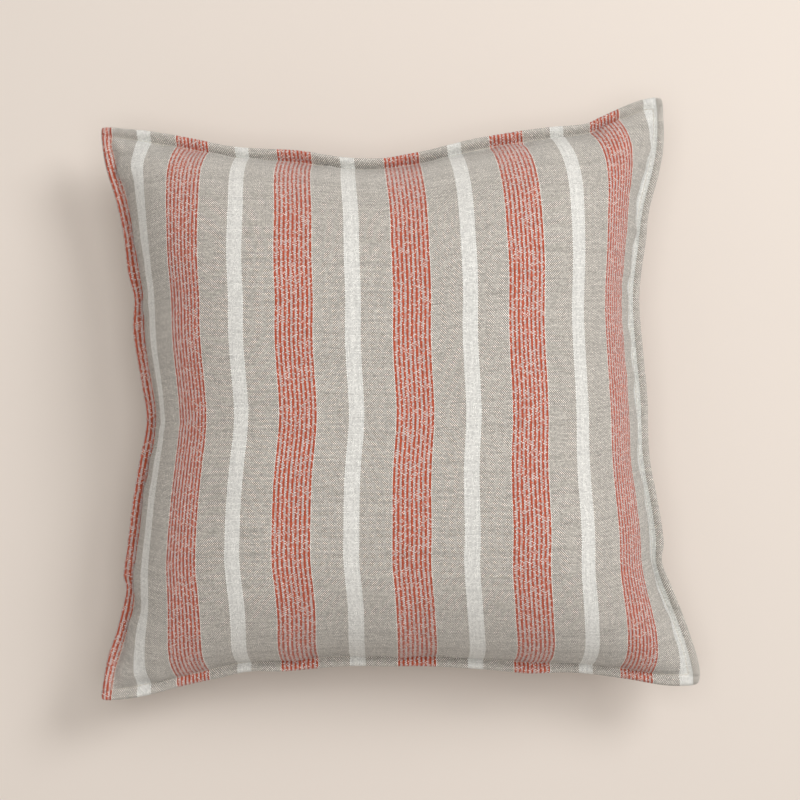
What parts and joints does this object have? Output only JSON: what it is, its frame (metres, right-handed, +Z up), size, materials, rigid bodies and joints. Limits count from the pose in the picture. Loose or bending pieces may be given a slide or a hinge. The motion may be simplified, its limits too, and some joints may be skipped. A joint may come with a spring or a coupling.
{
  "type": "throw pillow",
  "caption": "Square striped linen scatter cushion with a narrow stitched flange, a zip in its back and a filled ticking insert.",
  "frame": {"origin": "on the floor, under the middle of the pillow's bounding box", "axes": "+Z up out of the front face, +Y towards the top edge, +X to the right seen from the front; the pillow lies on its back"},
  "size_m": [0.48, 0.484, 0.1635],
  "materials": {
    "striped_linen": "coarse plain-weave linen, woven red and white stripes",
    "sewing_thread": "matt spun thread",
    "zip_tape": "narrow woven polyester tape",
    "zip_coil": "satin nylon filament",
    "zip_metal": "antique nickel",
    "ticking": "close cotton",
    "filling": "loose fibre",
    "label_tape": "blank woven satin tape"
  },
  "bodies": {
    "cushion": {"front_panel": "striped_linen", "back_panel_lower": "striped_linen", "back_panel_upper": "striped_linen", "flange_topstitch": "sewing_thread", "zip_stitching": "sewing_thread", "zip_tape_lower": "zip_tape", "zip_tape_upper": "zip_tape", "zip_coil_lower": "zip_coil", "zip_coil_upper": "zip_coil", "zip_top_stops": "zip_metal", "zip_bottom_stop": "zip_metal", "insert_front": "ticking", "insert_back": "ticking", "insert_seam_thread": "sewing_thread", "insert_closing_thread": "sewing_thread", "insert_fill": "filling", "care_label": "label_tape", "insert_label": "label_tape"},
    "zip_slider": {"zip_slider": "zip_metal"},
    "zip_pull": {"zip_pull": "zip_metal"}
  },
  "joints": [
    {"name": "zip_travel", "type": "hinge", "parent": "cushion", "child": "zip_slider", "pos_m": [0, -0.172, 1.1655], "axis": [0, 1, 0], "range_deg": [0, 14.8]},
    {"name": "pull_swing", "type": "hinge", "parent": "zip_slider", "child": "zip_pull", "pos_m": [0.14806, -0.17357, 0.0426], "axis": [-0.0673, -0.8572, 0.5106], "range_deg": [-71.3, 88.7]}
  ]
}
